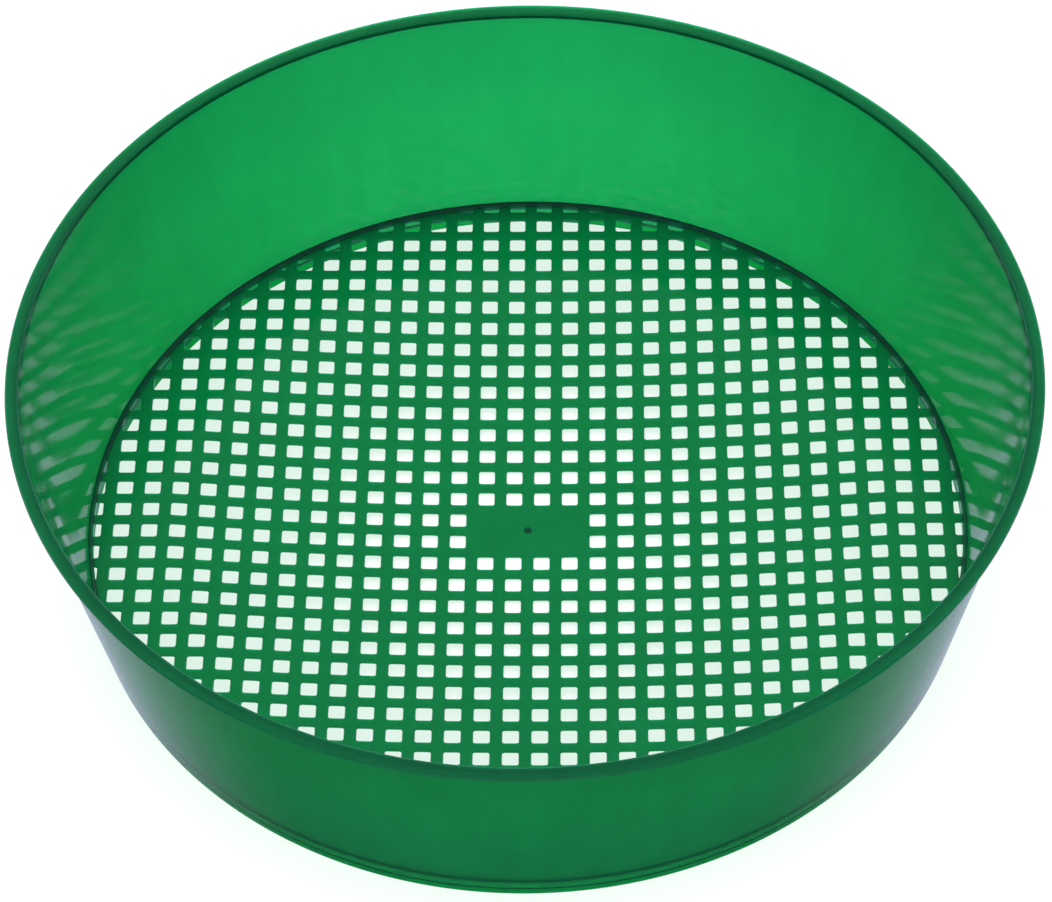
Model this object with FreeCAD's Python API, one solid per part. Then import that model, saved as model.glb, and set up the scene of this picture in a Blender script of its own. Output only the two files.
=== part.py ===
import FreeCAD, Part
import os
from math import sqrt

# A round soil sieve in moulded plastic: a tapering side wall with a turned-out
# rim lip at the top, a thin foot lip at the bottom, and a dished floor of
# crossing bars with a solid plate at its middle.
# Millimetres, +Z up, +Y away from the user, origin at the middle of the foot.

# Overall sizes
rim_outer_diameter = 376.0
overall_height = 98.2
foot_outer_diameter = 331.8

# Side wall, rim lip and foot lip
wall_thickness = 2.0
rim_lip_height = 2.3
rim_overhang = 3.35
foot_lip_height = 4.0
foot_lip_thickness = 1.2
rim_rounding = 0.8
foot_rounding = 0.3

# Floor of bars: its flat edge, its dish and its openings
bar_pitch = 10.6
lengthwise_bar_width = 4.6
crosswise_bar_width = 4.1
bar_thickness = 1.4
floor_edge_height = 9.3
dish_diameter = 269.2
dish_depth = 7.5
shortest_bar_reach = 4.0

# Plate that fills whole openings at the middle, and the stub left on it
plate_pitches_along_x = 4
plate_pitches_along_y = 2
gate_stub_diameter = 2.8
gate_stub_height = 0.4

# How far a cutting block runs past what it cuts
block_margin = 5.0

# Sizes that follow from the ones above
foot_radius = foot_outer_diameter / 2
rim_radius = rim_outer_diameter / 2
wall_top = overall_height - rim_lip_height
wall_slope = (rim_radius - rim_overhang - foot_radius) / wall_top
dish_radius = dish_diameter / 2
dish_curve_radius = (dish_radius ** 2 + dish_depth ** 2) / (2 * dish_depth)
joint_depth = bar_thickness / 2


def wall_outside(height):
    return foot_radius + wall_slope * height


def wall_inside(height):
    return wall_outside(height) - wall_thickness


# The outermost bar is the last whole pitch that still has some length in the wall.
floor_radius = wall_inside(floor_edge_height)
bars_each_side = int((floor_radius - shortest_bar_reach) / bar_pitch)


def point(radius, height):
    return FreeCAD.Vector(radius, 0, height)


def turned(face):
    """The solid that a face in the XZ plane sweeps in one turn about Z."""
    return face.revolve(FreeCAD.Vector(0, 0, 0), FreeCAD.Vector(0, 0, 1), 360)


def ring(*corners):
    """A turned ring whose section has these corners, each a radius and a height."""
    section = [point(radius, height) for radius, height in corners]
    return turned(Part.Face(Part.makePolygon(section + section[:1])))


def rounded(solid, rounding, radius, height):
    """The solid with its circular edge at that radius and height rounded off."""
    found = []
    for edge in solid.Edges:
        if isinstance(edge.Curve, Part.Circle):
            off_radius = abs(edge.Curve.Radius - radius)
            off_height = abs(edge.Curve.Center.z - height)
            if off_radius < 0.01 and off_height < 0.01:
                found.append(edge)
    return solid.makeFillet(rounding, found)


def floor_line(height):
    """The dish's arc and the flat beyond it, from the middle out to the wall."""
    half = dish_radius / 2
    sag = dish_curve_radius - sqrt(dish_curve_radius ** 2 - half ** 2)
    middle = point(0, height - dish_depth)
    crease = point(dish_radius, height)
    arc = Part.Arc(middle, point(half, height - dish_depth + sag), crease)
    flat = Part.makeLine(crease, point(wall_inside(height), height))
    return [arc.toShape(), flat]


def floor_layer(top_depth, bottom_depth):
    """The dished disc between two depths below the floor's top face."""
    upper = floor_edge_height - top_depth
    lower = floor_edge_height - bottom_depth
    edge = Part.makeLine(point(wall_inside(upper), upper), point(wall_inside(lower), lower))
    axis = Part.makeLine(point(0, lower - dish_depth), point(0, upper - dish_depth))
    outline = floor_line(upper) + [edge] + floor_line(lower)[::-1] + [axis]
    return turned(Part.Face(Part.Wire(outline)))


def block(x_low, x_high, y_low, y_high):
    """An upright block that runs above and below the floor."""
    corner = FreeCAD.Vector(x_low, y_low, -block_margin)
    height = floor_edge_height + 2 * block_margin
    return Part.makeBox(x_high - x_low, y_high - y_low, height, corner)


def strip(step, lengthwise):
    """The upright block round the bar that is so many pitches from the middle."""
    reach = floor_radius + block_margin
    place = step * bar_pitch
    if lengthwise:
        half = lengthwise_bar_width / 2
        return block(place - half, place + half, -reach, reach)
    half = crosswise_bar_width / 2
    return block(-reach, reach, place - half, place + half)


def bars(lengthwise, housing):
    """All bars of one direction, each housed by half its depth where it crosses another.

    housing is the half-deep layer of the floor that the crossing bars keep.
    """
    steps = range(-bars_each_side, bars_each_side + 1)
    crossing = Part.makeCompound([strip(step, not lengthwise) for step in steps])
    kept_by_others = housing.common(crossing)
    across = FreeCAD.Vector(1, 0, 0) if lengthwise else FreeCAD.Vector(0, 1, 0)
    made = []
    for step in range(bars_each_side + 1):
        around = strip(step, lengthwise)
        bar = floor_disc.common(around).cut(kept_by_others.common(around))
        bar = bar.cut(plate_block)
        made.append(bar)
        if step > 0:
            made.append(bar.mirror(FreeCAD.Vector(0, 0, 0), across))
    return Part.makeCompound([solid for bar in made for solid in bar.Solids])


# Rim lip: a flat ring on top of the wall, flush inside and standing out outside.
rim_lip = ring(
    (wall_inside(wall_top), wall_top),
    (rim_radius, wall_top),
    (rim_radius, overall_height),
    (wall_inside(overall_height), overall_height),
)
rim_lip = rounded(rim_lip, rim_rounding, rim_radius, wall_top)
rim_lip = rounded(rim_lip, rim_rounding, rim_radius, overall_height)
rim_lip = rounded(rim_lip, rim_rounding, wall_inside(overall_height), overall_height)

# Side wall: one thickness of plastic, straight in section, wider at the top.
side_wall = ring(
    (wall_inside(foot_lip_height), foot_lip_height),
    (wall_outside(foot_lip_height), foot_lip_height),
    (wall_outside(wall_top), wall_top),
    (wall_inside(wall_top), wall_top),
)

# Foot lip: the wall goes on down, thinner, to the edge the sieve stands on.
foot_lip = ring(
    (foot_radius - foot_lip_thickness, 0),
    (foot_radius, 0),
    (wall_outside(foot_lip_height), foot_lip_height),
    (wall_outside(foot_lip_height) - foot_lip_thickness, foot_lip_height),
)
foot_lip = rounded(foot_lip, foot_rounding, foot_radius, 0)

# Floor: lengthwise bars keep the upper half of each crossing, crosswise bars the lower.
floor_disc = floor_layer(0, bar_thickness)
upper_half = floor_layer(0, joint_depth)
lower_half = floor_layer(joint_depth, bar_thickness)
plate_x = (plate_pitches_along_x * bar_pitch - lengthwise_bar_width) / 2
plate_y = (plate_pitches_along_y * bar_pitch - crosswise_bar_width) / 2
plate_block = block(-plate_x, plate_x, -plate_y, plate_y)
lengthwise_bars = bars(True, lower_half)
crosswise_bars = bars(False, upper_half)
centre_plate = floor_disc.common(plate_block)

# Gate stub: the low round mark left where the plastic was fed in.
dish_bottom = floor_edge_height - dish_depth
stub_base = FreeCAD.Vector(0, 0, dish_bottom - joint_depth)
gate_stub = Part.makeCylinder(gate_stub_diameter / 2, joint_depth + gate_stub_height, stub_base)
gate_stub = gate_stub.cut(floor_disc)

os.makedirs("parts", exist_ok=True)
nodes = {
    "rim_lip": rim_lip,
    "side_wall": side_wall,
    "foot_lip": foot_lip,
    "lengthwise_bars": lengthwise_bars,
    "crosswise_bars": crosswise_bars,
    "centre_plate": centre_plate,
    "gate_stub": gate_stub,
}
for name, shape in nodes.items():
    shape.exportStep("parts/" + name + ".step")
    print(name, len(shape.Solids), "solids", round(shape.Volume), "mm3", shape.isValid())
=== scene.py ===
import bpy
import numpy as np
from mathutils import Matrix


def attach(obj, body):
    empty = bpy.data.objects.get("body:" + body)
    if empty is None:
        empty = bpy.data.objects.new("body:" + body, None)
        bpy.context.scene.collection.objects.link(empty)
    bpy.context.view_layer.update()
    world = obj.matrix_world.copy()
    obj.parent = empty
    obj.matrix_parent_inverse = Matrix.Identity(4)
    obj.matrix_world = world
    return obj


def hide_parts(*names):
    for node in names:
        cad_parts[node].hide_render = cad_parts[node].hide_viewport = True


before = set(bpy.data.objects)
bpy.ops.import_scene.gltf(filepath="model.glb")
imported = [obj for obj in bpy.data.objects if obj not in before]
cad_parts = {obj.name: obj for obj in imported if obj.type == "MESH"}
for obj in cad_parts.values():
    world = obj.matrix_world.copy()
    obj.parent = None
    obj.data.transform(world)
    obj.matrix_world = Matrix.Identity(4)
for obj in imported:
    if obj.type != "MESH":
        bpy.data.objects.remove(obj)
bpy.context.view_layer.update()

mm = 0.001
print("frame loaded")


# sRGB hex to the linear colour that shaders take
def hexColour(code):
    part = np.array([int(code[i:i + 2], 16) for i in (0, 2, 4)]) / 255
    linear = np.where(part <= 0.04045, part / 12.92, ((part + 0.055) / 1.055) ** 2.4)
    return (*linear.tolist(), 1.0)


# One node with its settings and links. An input is named by its socket, with _ for a space, or by
# its number after an i. A value that is a socket is linked, and anything else is set.
def addNode(tree, kind, settings=None, **inputs):
    node = tree.nodes.new(kind)
    for name, value in (settings or {}).items():
        setattr(node, name, value)
    for name, value in inputs.items():
        numbered = name[0] == "i" and name[1:].isdigit()
        socket = node.inputs[int(name[1:]) if numbered else name.replace("_", " ")]
        if isinstance(value, bpy.types.NodeSocket):
            tree.links.new(value, socket)
        else:
            socket.default_value = value
    return node


# points, faces and one normal per face corner into a new object that replaces its CAD nodes
def addPiece(name, points, faces, cornerNormals, material, *nodes):
    mesh = bpy.data.meshes.new(name)
    mesh.from_pydata(points.tolist(), [], faces)
    mesh.polygons.foreach_set("use_smooth", np.ones(len(mesh.polygons), bool))
    mesh.normals_split_custom_set(cornerNormals.tolist())
    mesh.update()
    piece = bpy.data.objects.new(name, mesh)
    bpy.context.scene.collection.objects.link(piece)
    mesh.materials.append(material)
    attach(piece, "root")
    if nodes:
        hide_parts(*nodes)


# Injection-moulded polypropylene with green masterbatch. It is half clear, so light soaks
# through it: a thin wall lit from behind glows, and a thick edge stays deep green.
plastic = {
    "hex": "0f9458",
    "darkHex": "0e8f55",
    "lightHex": "109a5c",
    "colourStops": (0.35, 0.5, 0.65),  # where the dark, the middle and the light colour stand
    "streakShare": 0.45,  # share of streaks in the mottling, the rest is clouds
    "freePathMm": (11.0, 18.0, 9.0),  # how far red, green and blue go before they scatter
    "ior": 1.49,
    "specular": 0.28,
    "roughness": (0.07, 0.12),
    "roughCloud": (0.3, 0.7),  # cloud values between which the roughness goes from low to high
    "patternRoughness": 0.55,
    "streakMm": 9.0,  # width of a flow streak
    "streakLength": 18.0,  # a streak's length in widths
    "streakDetail": 3.0,
    "cloudMm": 40.0,  # uneven mixing of the colour
    "cloudDetail": 2.0,
    "waveMm": 13.0,  # slow waves that cooling leaves in a flat wall
    "waveDetail": 0.0,
    "waveDepthMm": 0.05,
    "grainMm": 0.9,  # the mould's finish, about ten times coarser than it is so that it shows
    "grainDetail": 2.0,
    "grainDepthMm": 0.004,
    "paintedTopShade": 0.72,  # painted shade: the colour grows darker towards the rim
    "paintedTopShadeMm": (45.0, 98.2),
    "paintedRootShade": 0.80,  # painted shade: the colour is darker low on the wall, where the floor grows out of it
    "paintedRootShadeMm": (9.0, 19.0),
}


def mouldedPolypropylene(name, look):
    material = bpy.data.materials.new(name)
    material.use_nodes = True
    tree = material.node_tree
    tree.nodes.clear()
    place = addNode(tree, "ShaderNodeTexCoord").outputs["Object"]
    height = addNode(tree, "ShaderNodeSeparateXYZ", Vector=place).outputs["Z"]

    # plastic flows up the wall, so its streaks are long upwards
    stretch = (1, 1, 1 / look["streakLength"])
    along = addNode(tree, "ShaderNodeMapping", Vector=place, Scale=stretch).outputs[0]
    pattern = {}
    for layer, vector in {"streak": along, "cloud": place, "wave": place, "grain": place}.items():
        pattern[layer] = addNode(
            tree, "ShaderNodeTexNoise", Vector=vector, Scale=1 / (look[layer + "Mm"] * mm),
            Detail=look[layer + "Detail"], Roughness=look["patternRoughness"],
        ).outputs["Fac"]

    mottling = addNode(
        tree, "ShaderNodeMix", {"data_type": "FLOAT"},
        i0=look["streakShare"], i2=pattern["cloud"], i3=pattern["streak"],
    ).outputs[0]
    colour = addNode(tree, "ShaderNodeValToRGB", Fac=mottling)
    dark, middle, light = look["colourStops"]
    ramp = colour.color_ramp.elements
    ramp[0].position = dark
    ramp[0].color = hexColour(look["darkHex"])
    ramp[1].position = light
    ramp[1].color = hexColour(look["lightHex"])
    ramp.new(middle).color = hexColour(look["hex"])

    # each value that changes: its curve, what it follows, from where to where, and its two ends
    paintedTopSpan, paintedRootSpan = np.array([look["paintedTopShadeMm"], look["paintedRootShadeMm"]]) * mm
    changes = {
        # top is painted shade: the colour grows darker towards the rim
        "top": ("SMOOTHSTEP", height, paintedTopSpan, (1.0, look["paintedTopShade"])),
        # root is painted shade: the colour is darker low on the wall, where the floor meets it
        "root": ("SMOOTHSTEP", height, paintedRootSpan, (look["paintedRootShade"], 1.0)),
        "rough": ("LINEAR", pattern["cloud"], look["roughCloud"], look["roughness"]),
    }
    changing = {}
    for value, (curve, follows, span, ends) in changes.items():
        changing[value] = addNode(
            tree, "ShaderNodeMapRange", {"interpolation_type": curve}, Value=follows,
            From_Min=span[0], From_Max=span[1], To_Min=ends[0], To_Max=ends[1],
        ).outputs[0]
    # the painted shades multiply and darken the colour
    shade = addNode(
        tree, "ShaderNodeMath", {"operation": "MULTIPLY"}, i0=changing["top"], i1=changing["root"],
    ).outputs[0]
    body = addNode(
        tree, "ShaderNodeVectorMath", {"operation": "SCALE"}, Vector=colour.outputs[0], Scale=shade,
    ).outputs[0]

    waves = addNode(
        tree, "ShaderNodeBump", Strength=1.0, Distance=look["waveDepthMm"] * mm, Height=pattern["wave"],
    ).outputs[0]
    bump = addNode(
        tree, "ShaderNodeBump", Strength=1.0, Distance=look["grainDepthMm"] * mm,
        Height=pattern["grain"], Normal=waves,
    ).outputs[0]
    shader = addNode(
        tree, "ShaderNodeBsdfPrincipled", {"subsurface_method": "RANDOM_WALK"},
        Base_Color=body, Roughness=changing["rough"], IOR=look["ior"], Specular_IOR_Level=look["specular"],
        Subsurface_Weight=1.0, Subsurface_Radius=look["freePathMm"], Subsurface_Scale=mm, Normal=bump,
    )
    addNode(tree, "ShaderNodeOutputMaterial", Surface=shader.outputs[0])
    return material


# the thin wall glows brightest, and its streaks run upwards
wallPlastic = mouldedPolypropylene("mouldedPolypropyleneWall", plastic)
# the rim is thicker and looks a deeper green, and its painted shade towards the top is lighter
rimPlastic = mouldedPolypropylene("mouldedPolypropyleneRim", {
    **plastic, "freePathMm": (12.0, 16.5, 9.0), "paintedTopShade": 0.78,
})
# the foot lip gets a shaded copy of the plastic, painted shade: light goes a shorter way in it, and it shines
# less
shadedFootPlastic = mouldedPolypropylene("mouldedPolypropyleneFootShaded", {
    **plastic, "freePathMm": (1.0, 9.0, 4.0), "paintedRootShade": 1.0, "specular": 0.15,
})
# in the floor the plastic flowed every way, so it is clouded without streaks, and it looks darker
floorLook = {**plastic, "freePathMm": (3.0, 13.5, 6.0), "paintedRootShade": 1.0, "streakLength": 1.0}
floorPlastic = mouldedPolypropylene("mouldedPolypropyleneFloor", floorLook)
# the stub is solid plastic, which lets hardly any light through
stubPlastic = mouldedPolypropylene("mouldedPolypropyleneStub", {**floorLook, "freePathMm": (1.0, 5.0, 3.0)})
print("plastic ready")

# The side wall, the rim lip and the foot lip, in millimetres.
shell = {
    "footRadius": 165.9,
    "height": 98.2,
    "rimRadius": 188.0,
    "rimHeight": 2.3,
    "rimOverhang": 3.35,  # how far the rim lip stands out from the wall
    "wallThickness": 2.0,
    "footLipHeight": 4.0,
    "footLipThickness": 1.2,
    "rimRounding": 0.8,
    "footRounding": 0.3,
    "arcSteps": 6,  # points in a rounded corner
    "run": 6.0,  # length that a straight run is cut into
    "segments": 360,
}
wallTop = shell["height"] - shell["rimHeight"]
wallSlope = (shell["rimRadius"] - shell["rimOverhang"] - shell["footRadius"]) / wallTop


# radius of the wall's outer face, which grows by the slope times the height
def outside(height):
    return shell["footRadius"] + wallSlope * height


# radius of the wall's inner face, which is one wall thickness less
def inside(height):
    return outside(height) - shell["wallThickness"]


# Outline of a section with rounded corners: at each corner a circle touches both sides, and the
# outline follows it from one side's outward normal to the next. Corners run anticlockwise.
def roundedOutline(corners, roundings):
    corner = np.array(corners, float)
    radius = np.array(roundings, float)[:, None]
    side = np.roll(corner, -1, 0) - corner
    side /= np.linalg.norm(side, axis=1, keepdims=True)
    normal = np.stack([side[:, 1], -side[:, 0]], 1)
    before = np.roll(normal, 1, 0)
    cosTurn = (before * normal).sum(1)
    turn = np.arccos(np.clip(cosTurn, -1, 1))
    centre = corner - radius * (before + normal) / (1 + cosTurn)[:, None]
    start = np.arctan2(before[:, 1], before[:, 0])
    angle = start[:, None] + turn[:, None] * np.linspace(0, 1, shell["arcSteps"])
    out = np.stack([np.cos(angle), np.sin(angle)], -1)
    points = centre[:, None] + radius[:, None] * out
    return points, out, normal


# A closed ring: each outline point (r, z) goes once round Z, to (r cos a, r sin a, z), and each
# straight run between roundings is cut into short lengths so that no face is long and thin.
def turnedPiece(name, corners, roundings, material, *nodes):
    points, out, normal = roundedOutline(corners, roundings)
    line, first, last = [], [], []
    for k in range(len(points)):
        sharp = roundings[k] == 0
        arc = points[k][:1] if sharp else points[k]
        if not sharp:
            line.append(arc[:-1])
            first.append(out[k][:-1])
            last.append(out[k][1:])
        end = points[(k + 1) % len(points)][0]
        cuts = max(1, int(np.linalg.norm(end - arc[-1]) / shell["run"]))
        share = np.arange(cuts)[:, None] / cuts
        line.append(arc[-1] + share * (end - arc[-1]))
        first.append(np.repeat(normal[k][None], cuts, 0))
        last.append(first[-1])
    line, first, last = (np.concatenate(part) for part in (line, first, last))
    count, around = len(line), shell["segments"]
    angle = np.arange(around) * 2 * np.pi / around
    cos, sin = np.cos(angle)[:, None], np.sin(angle)[:, None]

    def swept(pairs):
        r, z = pairs[:, 0], pairs[:, 1]
        return np.stack([r * cos, r * sin, np.broadcast_to(z, (around, len(r)))], -1)

    place = swept(line).reshape(-1, 3) * mm
    k, a = np.meshgrid(np.arange(count), np.arange(around))
    nextK, nextA = (k + 1) % count, (a + 1) % around
    ring, nextRing = a * count, nextA * count
    faces = np.stack([ring + k, nextRing + k, nextRing + nextK, ring + nextK], -1).reshape(-1, 4)
    low, high = swept(first), swept(last)
    corner = np.stack([low[a, k], low[nextA, k], high[nextA, k], high[a, k]], 2).reshape(-1, 3)
    addPiece(name, place, faces.tolist(), corner, material, *nodes)


top, rim, rimSoft = shell["height"], shell["rimRadius"], shell["rimRounding"]
thin, footTop, footSoft = shell["footLipThickness"], shell["footLipHeight"], shell["footRounding"]
wallIn, wallOut, footOut = inside(wallTop), outside(wallTop), outside(footTop)
turnedPiece(
    "rimLip",
    [(wallIn, wallTop), (rim, wallTop), (rim, top), (inside(top), top)],
    [0, rimSoft, rimSoft, rimSoft],
    rimPlastic, "rim_lip",
)
turnedPiece(
    "sideWall",
    [(inside(footTop), footTop), (footOut, footTop), (wallOut, wallTop), (wallIn, wallTop)],
    [0, 0, 0, 0],
    wallPlastic, "side_wall",
)
turnedPiece(
    "footLip",
    [(outside(0) - thin, 0), (outside(0), 0), (footOut, footTop), (footOut - thin, footTop)],
    [footSoft, footSoft, 0, 0],
    shadedFootPlastic, "foot_lip",
)
print("shell ready")

# The floor of crossing bars, in millimetres.
meshFloor = {
    "pitch": 10.6,  # from one bar to the next, both ways
    "lengthwiseBar": 4.6,
    "crosswiseBar": 4.1,
    "thickness": 1.4,
    "edgeHeight": 9.3,  # of the top face at the wall
    "dishRadius": 134.6,
    "dishDepth": 7.5,
    "openingCorner": 0.7,
    "edgeRounding": 0.3,
    "plateCells": (4, 2),  # openings that the middle plate fills
    "intoWall": 1.0,  # how far the floor's edge is sunk in the wall
    "joinWithin": 0.001,  # points closer than this become one
    "onAxis": 1e-9,  # keeps the middle point's slope from being divided by zero
}


# Height of the floor's top face, and its slope: a bowl of one radius, level beyond its edge.
def floorHeight(x, y):
    edge, depth = meshFloor["dishRadius"], meshFloor["dishDepth"]
    curve = (edge ** 2 + depth ** 2) / (2 * depth)
    r = np.hypot(x, y)
    inDish = np.minimum(r, edge)
    rise = curve - np.sqrt(curve ** 2 - inDish ** 2)
    steep = np.where(r < edge, inDish / np.sqrt(curve ** 2 - inDish ** 2), 0)
    slope = steep / np.maximum(r, meshFloor["onAxis"])
    return meshFloor["edgeHeight"] - depth + rise, slope * x, slope * y


# One cell of the floor per opening. Six closed loops of twelve points lie one below the other:
# the cell's square, the opening's rounded edge, its upright sides, and the same below.
def floorCells():
    pitch, thickness, soft = meshFloor["pitch"], meshFloor["thickness"], meshFloor["edgeRounding"]
    bend = meshFloor["openingCorner"]
    half = np.array([pitch - meshFloor["lengthwiseBar"], pitch - meshFloor["crosswiseBar"]]) / 2
    sign = np.array([(1, -1), (1, 1), (-1, 1), (-1, -1)])
    angle = np.radians([-90, 0, 90, 180])[:, None] + np.radians([0, 45, 90])
    out = np.stack([np.cos(angle), np.sin(angle)], -1)
    middle = (sign * (half - bend))[:, None]
    side = middle + bend * out
    edge = middle + (bend + soft) * out
    cellCorner = (sign * pitch / 2)[:, None]
    square = side.copy()
    square[:, 1:2] = cellCorner
    pointsOut = np.abs(out[:, ::2]) > 0.5
    square[:, ::2] = np.where(pointsOut, cellCorner, side[:, ::2])
    loops = [loop.reshape(-1, 2) for loop in (square, edge, side, side, edge, square)]
    depth = [0, 0, soft, thickness - soft, thickness, thickness]
    return np.array(loops), np.array(depth), out.reshape(-1, 2)


# All cells whose nearest corner lies within the reach, each moved by whole pitches. Four-sided
# faces stand between neighbouring loops, and a cell of the plate is closed above and below.
def floorGrid(reach):
    loops, depth, outward = floorCells()
    pitch = meshFloor["pitch"]
    span = int(reach / pitch) + 1
    steps = np.arange(-span, span)
    i, j = (step.ravel() for step in np.meshgrid(steps, steps, indexing="ij"))
    plateX, plateY = meshFloor["plateCells"]
    plate = (i >= -plateX // 2) & (i < plateX // 2) & (j >= -plateY // 2) & (j < plateY // 2)
    near = np.hypot(np.minimum(abs(i), abs(i + 1)), np.minimum(abs(j), abs(j + 1))) * pitch < reach
    i, j, plate = i[near], j[near], plate[near]
    centre = (np.stack([i, j], 1) + 0.5) * pitch
    flat = centre[:, None, None] + loops[None]
    x, y = flat[..., 0], flat[..., 1]
    z, slopeX, slopeY = floorHeight(x, y)
    points = np.stack([x, y, z - depth[None, :, None]], -1)
    up = np.stack([-slopeX, -slopeY, np.ones_like(z)], -1)
    up /= np.linalg.norm(up, axis=-1, keepdims=True)
    normals = up.copy()
    normals[:, 2:4] = np.concatenate([-outward, np.zeros((len(outward), 1))], 1)
    normals[:, 4:] = -up[:, 4:]
    index = np.arange(z.size).reshape(z.shape)
    following = np.roll(index, -1, 2)
    quads = np.stack([index[:, :-1], following[:, :-1], following[:, 1:], index[:, 1:]], -1)
    faces = [quads[~plate].reshape(-1, 4), index[plate, 0], index[plate, -1, ::-1]]
    return points.reshape(-1, 3), normals.reshape(-1, 3), index, faces


# Sides of faces that no other face runs along the other way, as first points and second points.
def openSides(faceSets, count):
    first = np.concatenate([faces.ravel() for faces in faceSets])
    second = np.concatenate([np.roll(faces, -1, 1).ravel() for faces in faceSets])
    alone = ~np.isin(first * count + second, second * count + first)
    return first[alone], second[alone]


# The floor's outer edge, which the wall hides: a face stands between each open side of the top
# and the same side of the bottom, and each small hole that is left becomes one face.
def edgeFaces(faceSets, topLoops, bottomLoops, count):
    under = np.full(count, -1)
    under[topLoops] = bottomLoops
    first, second = openSides(faceSets, count)
    both = (under[first] >= 0) & (under[second] >= 0)
    first, second = first[both], second[both]
    upright = np.stack([second, first, under[first], under[second]], 1)
    first, second = openSides(faceSets + [upright], count)
    following = dict(zip(second.tolist(), first.tolist()))
    holes = []
    while following:
        hole = [next(iter(following))]
        while hole[-1] in following:
            hole.append(following.pop(hole[-1]))
        holes.append(hole[:-1])
    return upright.tolist() + holes


# The grid is cut off round the wall: faces wholly beyond the reach go, points beyond it are
# drawn in to it, shared points become one, and the edge that this leaves is closed.
def buildFloor():
    reach = inside(meshFloor["edgeHeight"]) + meshFloor["intoWall"]
    points, normals, index, faceSets = floorGrid(reach)
    radius = np.hypot(points[:, 0], points[:, 1])
    beyond = radius > reach
    faceSets[0] = faceSets[0][~beyond[faceSets[0]].all(1)]
    points[beyond, :2] *= (reach / radius[beyond])[:, None]
    corner = [normals[faces].reshape(-1, 3) for faces in faceSets]

    key = np.round(points / meshFloor["joinWithin"]).astype(np.int64)
    _, firstSeen, same = np.unique(key, axis=0, return_index=True, return_inverse=True)
    same = same.ravel()
    points = points[firstSeen]
    faceSets = [same[faces] for faces in faceSets]
    edge = edgeFaces(faceSets, same[index[:, :2]], same[index[:, [5, 4]]], len(points))
    outward = points[[face[0] for face in edge]] * (1, 1, 0)
    outward /= np.linalg.norm(outward, axis=1, keepdims=True)
    corner.append(np.repeat(outward, [len(face) for face in edge], 0))
    faces = [face for faces in faceSets for face in faces.tolist()] + edge

    # points that no face uses are left out
    used = np.zeros(len(points), bool)
    used[np.concatenate(faces)] = True
    renumbered = np.cumsum(used) - 1
    faces = [renumbered[face].tolist() for face in faces]
    addPiece(
        "meshFloor", points[used] * mm, faces, np.concatenate(corner), floorPlastic,
        "lengthwise_bars", "crosswise_bars", "centre_plate",
    )


buildFloor()
print("mesh floor ready")

# Where the floor meets the wall a narrow root of plastic runs round, in millimetres.
wallRoot = {
    "width": 1.5,
    "rise": 1.2,
    "intoWall": 0.5,
    "arcSteps": 5,
}


# A ring with a hollow upper face, a quarter of an ellipse that leads the floor up into the wall:
# its radius grows by the width times sin a, and its height by the rise times 1 - cos a.
def buildRoot():
    floorTop = meshFloor["edgeHeight"]
    floorBottom = floorTop - meshFloor["thickness"]
    inner = inside(floorTop) - wallRoot["width"]
    buried = inside(floorTop) + wallRoot["intoWall"]
    turn = np.linspace(0, np.pi / 2, wallRoot["arcSteps"])
    out, up = wallRoot["width"] * np.sin(turn), wallRoot["rise"] * (1 - np.cos(turn))
    hollow = np.stack([inner + out, floorTop + up], 1).tolist()
    corners = [(inner, floorBottom), (buried, floorBottom), (buried, hollow[-1][1])] + hollow[::-1]
    turnedPiece("wallRoot", corners, [0] * len(corners), floorPlastic)


buildRoot()
print("root ready")

# The low round mark on the plate where plastic was fed in, in millimetres.
gateStub = {
    "radius": 1.4,
    "base": 1.8,
    "height": 0.4,
    "rounding": 0.2,
    "segments": 32,
    "arcSteps": 5,
}


# A closed round stub: rings (r cos a, r sin a, z) up its side and round its top edge, where the
# edge is a quarter circle, closed by a fan to a point on the axis below and another above.
def buildStub():
    count, steps = gateStub["segments"], gateStub["arcSteps"]
    bottom, top = gateStub["base"], gateStub["base"] + gateStub["height"]
    soft = gateStub["rounding"]
    quarter = np.linspace(0, np.pi / 2, steps)
    ringR = np.concatenate([[gateStub["radius"]], gateStub["radius"] - soft + soft * np.cos(quarter)])
    ringZ = np.concatenate([[bottom], top - soft + soft * np.sin(quarter)])
    lean = np.concatenate([[0], quarter])
    angle = np.arange(count) * 2 * np.pi / count

    # each ring's radius along the angle's direction, with its height
    def ringed(radius, height):
        out = radius[:, None]
        return np.stack([out * np.cos(angle), out * np.sin(angle), np.repeat(height[:, None], count, 1)], -1)

    rings = ringed(ringR, ringZ).reshape(-1, 3)
    normal = ringed(np.cos(lean), np.sin(lean)).reshape(-1, 3)
    points = np.concatenate([rings, [[0, 0, bottom], [0, 0, top]]])
    k, a = np.meshgrid(np.arange(steps), np.arange(count), indexing="ij")
    after = (a + 1) % count
    above = (k + 1) * count
    quads = np.stack([k * count + a, k * count + after, above + after, above + a], -1).reshape(-1, 4)
    first, last = np.arange(count), np.arange(count) + steps * count
    low = np.stack([np.roll(first, -1), first, np.full(count, len(points) - 2)], -1)
    high = np.stack([last, np.roll(last, -1), np.full(count, len(points) - 1)], -1)
    down, up = np.tile([0, 0, -1], (3 * count, 1)), np.tile([0, 0, 1], (3 * count, 1))
    corner = np.concatenate([normal[quads].reshape(-1, 3), down, up])
    faces = quads.tolist() + low.tolist() + high.tolist()
    addPiece("gateStub", points * mm, faces, corner, stubPlastic, "gate_stub")


buildStub()
print("gate stub ready")

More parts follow.
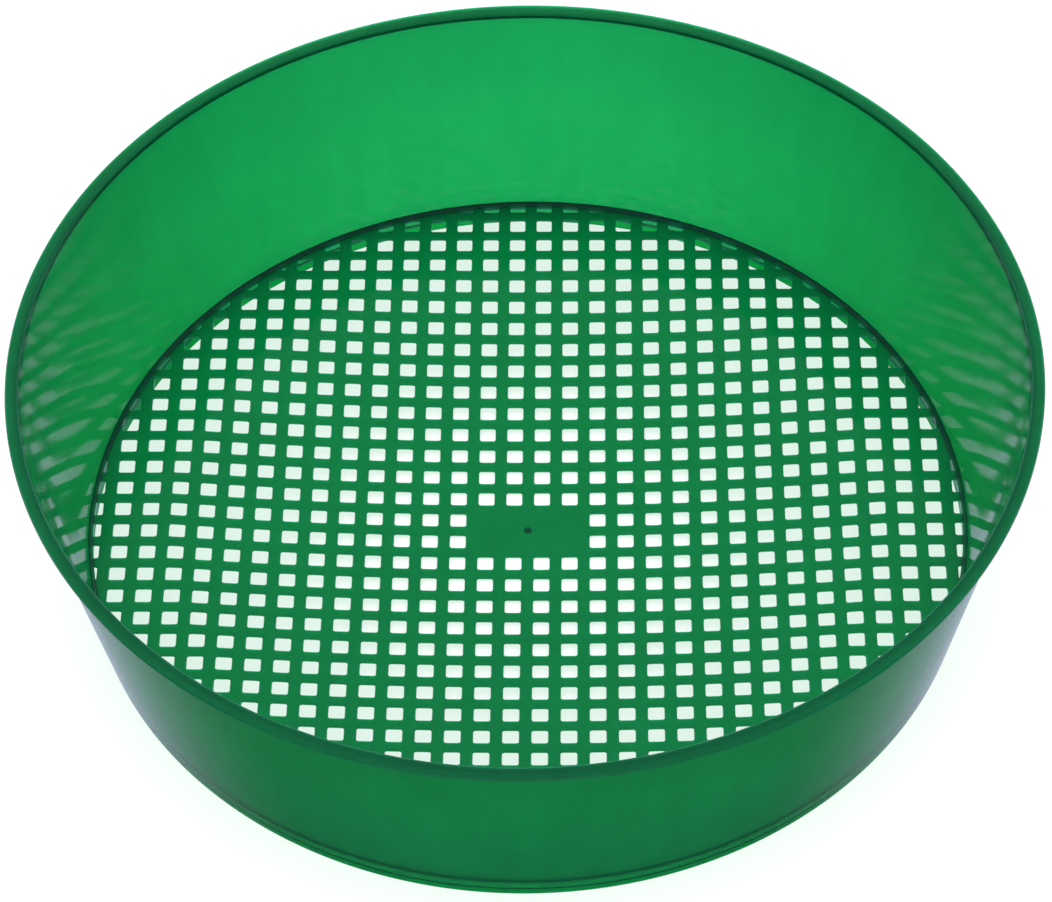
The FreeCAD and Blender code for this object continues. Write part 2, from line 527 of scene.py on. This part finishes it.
# A pale table in a dark studio: the light comes from a wide bright sweep that runs under and
# behind the sieve, so thin plastic between it and the eye glows. A span of directions is given as
# the part of them that points back, or up, from -1 to 1.
stage = {
    "tableSize": 8.0,
    "openWhite": 1.15,  # brightness of the open table and of the backdrop
    "paintedShadowHex": "d8f0e2",  # painted shadow, tinted green, on the table right under the sieve
    "reach": 0.09,  # how far above the table something still covers it
    "coverSamples": 8,
    "coverSpan": (0.2, 0.72),  # clear share where the table is all covered, and where it is open
    "lightHex": "dde5ff",  # daylight lamps, a little cool
    "sweep": 0.70,  # strength of the sweep in directions down and back
    "under": 0.07,  # and straight down, where the sieve's own shadow lies
    "turnSpan": (0.0, 0.62),  # how far back the one turns into the other
    "front": 0.5,  # and in directions down and towards the user
    "frontSpan": (-0.75, -0.38),
    "overhead": 0.38,  # strength above the level
    "levelSpan": (-0.02, 0.22),
    "glow": 1.85,  # extra strength low at the back, where the sweep rises behind the table
    "glowTop": 0.7,
    "glowSpan": (-0.4, 0.9),
}


# A flat square that only glows: white where it is open, and with a painted green-tinted shadow where
# something stands over it.
def buildTable():
    mesh = bpy.data.meshes.new("table")
    half = stage["tableSize"] / 2
    corners = [(-half, -half, 0), (half, -half, 0), (half, half, 0), (-half, half, 0)]
    mesh.from_pydata(corners, [], [(0, 1, 2, 3)])
    table = bpy.data.objects.new("table", mesh)
    bpy.context.scene.collection.objects.link(table)
    material = bpy.data.materials.new("paleTablePaintedShadow")
    material.use_nodes = True
    tree = material.node_tree
    tree.nodes.clear()
    # painted shadow: how open the table is above each point mixes the shadow colour into the white
    clearShare = addNode(
        tree, "ShaderNodeAmbientOcclusion", {"samples": stage["coverSamples"]}, Distance=stage["reach"],
    ).outputs["AO"]
    covered, clear = stage["coverSpan"]
    shade = addNode(tree, "ShaderNodeMapRange", Value=clearShare, From_Min=covered, From_Max=clear).outputs[0]
    white = (stage["openWhite"],) * 3 + (1.0,)
    seen = addNode(
        tree, "ShaderNodeMix", {"data_type": "RGBA"}, i0=shade, i6=hexColour(stage["paintedShadowHex"]), i7=white,
    ).outputs[2]
    shader = addNode(tree, "ShaderNodeEmission", Color=seen)
    addNode(tree, "ShaderNodeOutputMaterial", Surface=shader.outputs[0])
    mesh.materials.append(material)
    # the table is only seen: what lights the sieve is the sweep below
    table.visible_diffuse = False
    table.visible_glossy = False
    table.visible_transmission = False
    table.visible_shadow = False


# Light from all round, whose strength follows the direction: back, up, and towards the user.
def buildStudio():
    world = bpy.data.worlds.new("studio")
    bpy.context.scene.world = world
    world.use_nodes = True
    tree = world.node_tree
    tree.nodes.clear()
    toward = addNode(tree, "ShaderNodeTexCoord").outputs["Generated"]
    part = addNode(tree, "ShaderNodeSeparateXYZ", Vector=toward)
    back, up = part.outputs["Y"], part.outputs["Z"]
    tilt = addNode(tree, "ShaderNodeMath", {"operation": "ABSOLUTE"}, i0=up).outputs[0]

    # each turn of the light: what it follows, from where to where, and its value at both ends
    turns = {
        "sweep": (back, stage["turnSpan"], (stage["under"], stage["sweep"])),
        "front": (back, stage["frontSpan"], (stage["front"], 0.0)),
        "level": (up, stage["levelSpan"], (0.0, 1.0)),
        "low": (tilt, (0.0, stage["glowTop"]), (stage["glow"], 0.0)),
        "behind": (back, stage["glowSpan"], (0.0, 1.0)),
    }
    light = {}
    for value, (follows, span, ends) in turns.items():
        light[value] = addNode(
            tree, "ShaderNodeMapRange", {"interpolation_type": "SMOOTHSTEP"}, Value=follows,
            From_Min=span[0], From_Max=span[1], To_Min=ends[0], To_Max=ends[1],
        ).outputs[0]
    below = addNode(
        tree, "ShaderNodeMath", {"operation": "ADD"}, i0=light["sweep"], i1=light["front"],
    ).outputs[0]
    sky = addNode(
        tree, "ShaderNodeMix", {"data_type": "FLOAT"}, i0=light["level"], i2=below, i3=stage["overhead"],
    ).outputs[0]
    sky = addNode(
        tree, "ShaderNodeMath", {"operation": "MULTIPLY_ADD"}, i0=light["low"], i1=light["behind"], i2=sky,
    ).outputs[0]

    # the backdrop itself is plain white
    seen = addNode(tree, "ShaderNodeLightPath").outputs["Is Camera Ray"]
    strength = addNode(
        tree, "ShaderNodeMix", {"data_type": "FLOAT"}, i0=seen, i2=sky, i3=stage["openWhite"],
    ).outputs[0]
    tint = addNode(
        tree, "ShaderNodeMix", {"data_type": "RGBA"},
        i0=seen, i6=hexColour(stage["lightHex"]), i7=hexColour("ffffff"),
    ).outputs[2]
    sweep = addNode(tree, "ShaderNodeBackground", Color=tint, Strength=strength)
    addNode(tree, "ShaderNodeOutputWorld", Surface=sweep.outputs[0])


buildTable()
buildStudio()

# The camera stands in front of the sieve, well above it, and looks down on it.
view = {
    "lens": 141.84,
    "sensorWidth": 36,
    "place": (25.3, -1008.5, 1210.5),  # in millimetres
    "right": (0.9998621, 0.0092041, -0.0138215),
    "down": (-0.0021034, -0.7554311, -0.6552247),
    "forward": (-0.0164719, 0.6551634, -0.7553076),
}
cameraData = bpy.data.cameras.new("camera")
cameraData.lens = view["lens"]
cameraData.sensor_width = view["sensorWidth"]
camera = bpy.data.objects.new("camera", cameraData)
bpy.context.scene.collection.objects.link(camera)
square, scale = np.linalg.qr(np.array([view["right"], view["down"], view["forward"]]).T)
right, down, forward = (square * np.sign(np.diag(scale))).T
turn = Matrix(np.stack([right, -down, -forward], 1).tolist()).to_4x4()
camera.matrix_world = Matrix.Translation(np.array(view["place"]) * mm) @ turn
bpy.context.scene.camera = camera

bpy.context.scene.view_settings.view_transform = "Standard"
print("stage ready")
